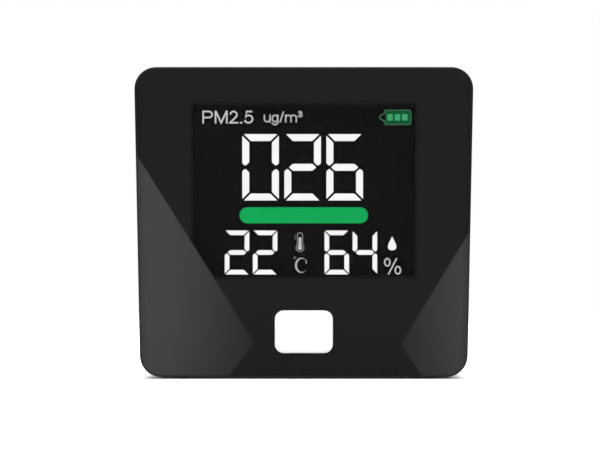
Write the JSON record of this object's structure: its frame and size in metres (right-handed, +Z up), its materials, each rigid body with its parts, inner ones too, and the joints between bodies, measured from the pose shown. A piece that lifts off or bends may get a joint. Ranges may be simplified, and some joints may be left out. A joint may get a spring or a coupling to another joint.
{
  "type": "air quality monitor",
  "caption": "Desktop air quality monitor: a rounded box with a full black face, a segment display behind it, a push button below and air vents at the back and sides.",
  "frame": {"origin": "on the table, under the middle of the box: midway between its sides and between the button's face and the casing's back", "axes": "+X to the right of a person who looks at the face, +Y from the face to the back, +Z up"},
  "size_m": [0.0802, 0.036, 0.0737],
  "materials": {
    "lens_black": "polished clear plate, printed black on its back",
    "lens_print_grey": "charcoal grey printed facets behind the polished face, paler at the sides",
    "lens_window": "smoked, see-through where the display lies behind it",
    "case_black": "fine moulded texture",
    "button_white": "smooth satin, softly rounded edges",
    "rubber_black": "matte, slightly dusty",
    "foam_grey": "open-cell foam",
    "screw_steel": "zinc plated, fine turning marks",
    "polarizer_film": "dark film, low sheen",
    "display_glass": "thin clear glass with ground edges",
    "display_film": "translucent film printed with colour",
    "display_lit_white": "lit display segment",
    "display_lit_green": "lit display segment",
    "display_lit_grey": "dimmer lit legend",
    "light_guide_acrylic": "clear acrylic with a dot-etched back",
    "light_bar_film": "amber film strip with white lamps",
    "plastic_white": "smooth moulded",
    "plastic_black": "moulded, glass filled",
    "board_green": "green solder mask over copper tracks",
    "board_blue": "blue solder mask over copper tracks",
    "chip_black": "moulded epoxy",
    "tin_shell": "tin plated sheet",
    "battery_foil": "laminated foil pouch, slightly creased",
    "battery_amber_film": "amber polyimide film",
    "wire_red": "silicone insulation",
    "wire_black": "silicone insulation",
    "cable_grey": "ribbed flat cable",
    "laser_brass": "turned",
    "coil_copper": "lacquered winding",
    "sensor_lid_steel": "stamped sheet"
  },
  "bodies": {
    "housing": {"front_lens": "lens_black", "lens_tape": "rubber_black", "front_housing": "case_black", "rear_cover": "case_black", "case_screw_top_left": "screw_steel", "case_screw_top_right": "screw_steel", "case_screw_bottom_left": "screw_steel", "case_screw_bottom_right": "screw_steel", "foot_front_left": "rubber_black", "foot_front_right": "rubber_black", "foot_rear_left": "rubber_black", "foot_rear_right": "rubber_black", "switch_cover": "tin_shell", "switch_base": "plastic_black", "display_front_polarizer": "polarizer_film", "display_front_glass": "display_glass", "display_rear_glass": "display_glass", "display_rear_polarizer": "polarizer_film", "display_colour_film": "display_film", "display_holder": "plastic_white", "light_guide": "light_guide_acrylic", "light_reflector": "plastic_white", "light_bar": "light_bar_film", "contact_strip": "rubber_black", "main_board": "board_green", "microcontroller": "chip_black", "charge_controller": "chip_black", "power_inductor": "foam_grey", "clock_crystal": "tin_shell", "usb_shell": "tin_shell", "usb_tongue": "plastic_black", "battery_header": "plastic_white", "sensor_header": "plastic_white", "battery_cell": "battery_foil", "battery_protection_board": "battery_amber_film", "battery_tape": "foam_grey", "battery_wire_red": "wire_red", "battery_wire_black": "wire_black", "humidity_sensor_board": "board_blue", "humidity_sensor_chip": "chip_black", "humidity_cable": "cable_grey", "humidity_header": "plastic_white", "sensor_base": "plastic_black", "sensor_lid": "sensor_lid_steel", "sensor_gasket": "foam_grey", "sensor_board": "board_green", "fan_frame": "plastic_black", "fan_coil": "coil_copper", "laser_barrel": "laser_brass", "laser_diode": "tin_shell", "photodiode": "chip_black", "sensor_plug": "plastic_white", "sensor_cable": "cable_grey"},
    "front_button": {"button_cap": "button_white", "switch_plunger": "plastic_black"},
    "sensor_fan": {"fan_rotor": "plastic_black", "fan_shaft": "screw_steel"}
  },
  "joints": [
    {"name": "button_press", "type": "slide", "parent": "housing", "child": "front_button", "axis": [0, 1, 0], "range_m": [0, 0.0004], "stiffness_N_per_m": 60},
    {"name": "fan_spin", "type": "hinge", "parent": "housing", "child": "sensor_fan", "pos_m": [0.0085, 0.0093, 0.0523], "axis": [0, 1, 0], "continuous": true}
  ]
}
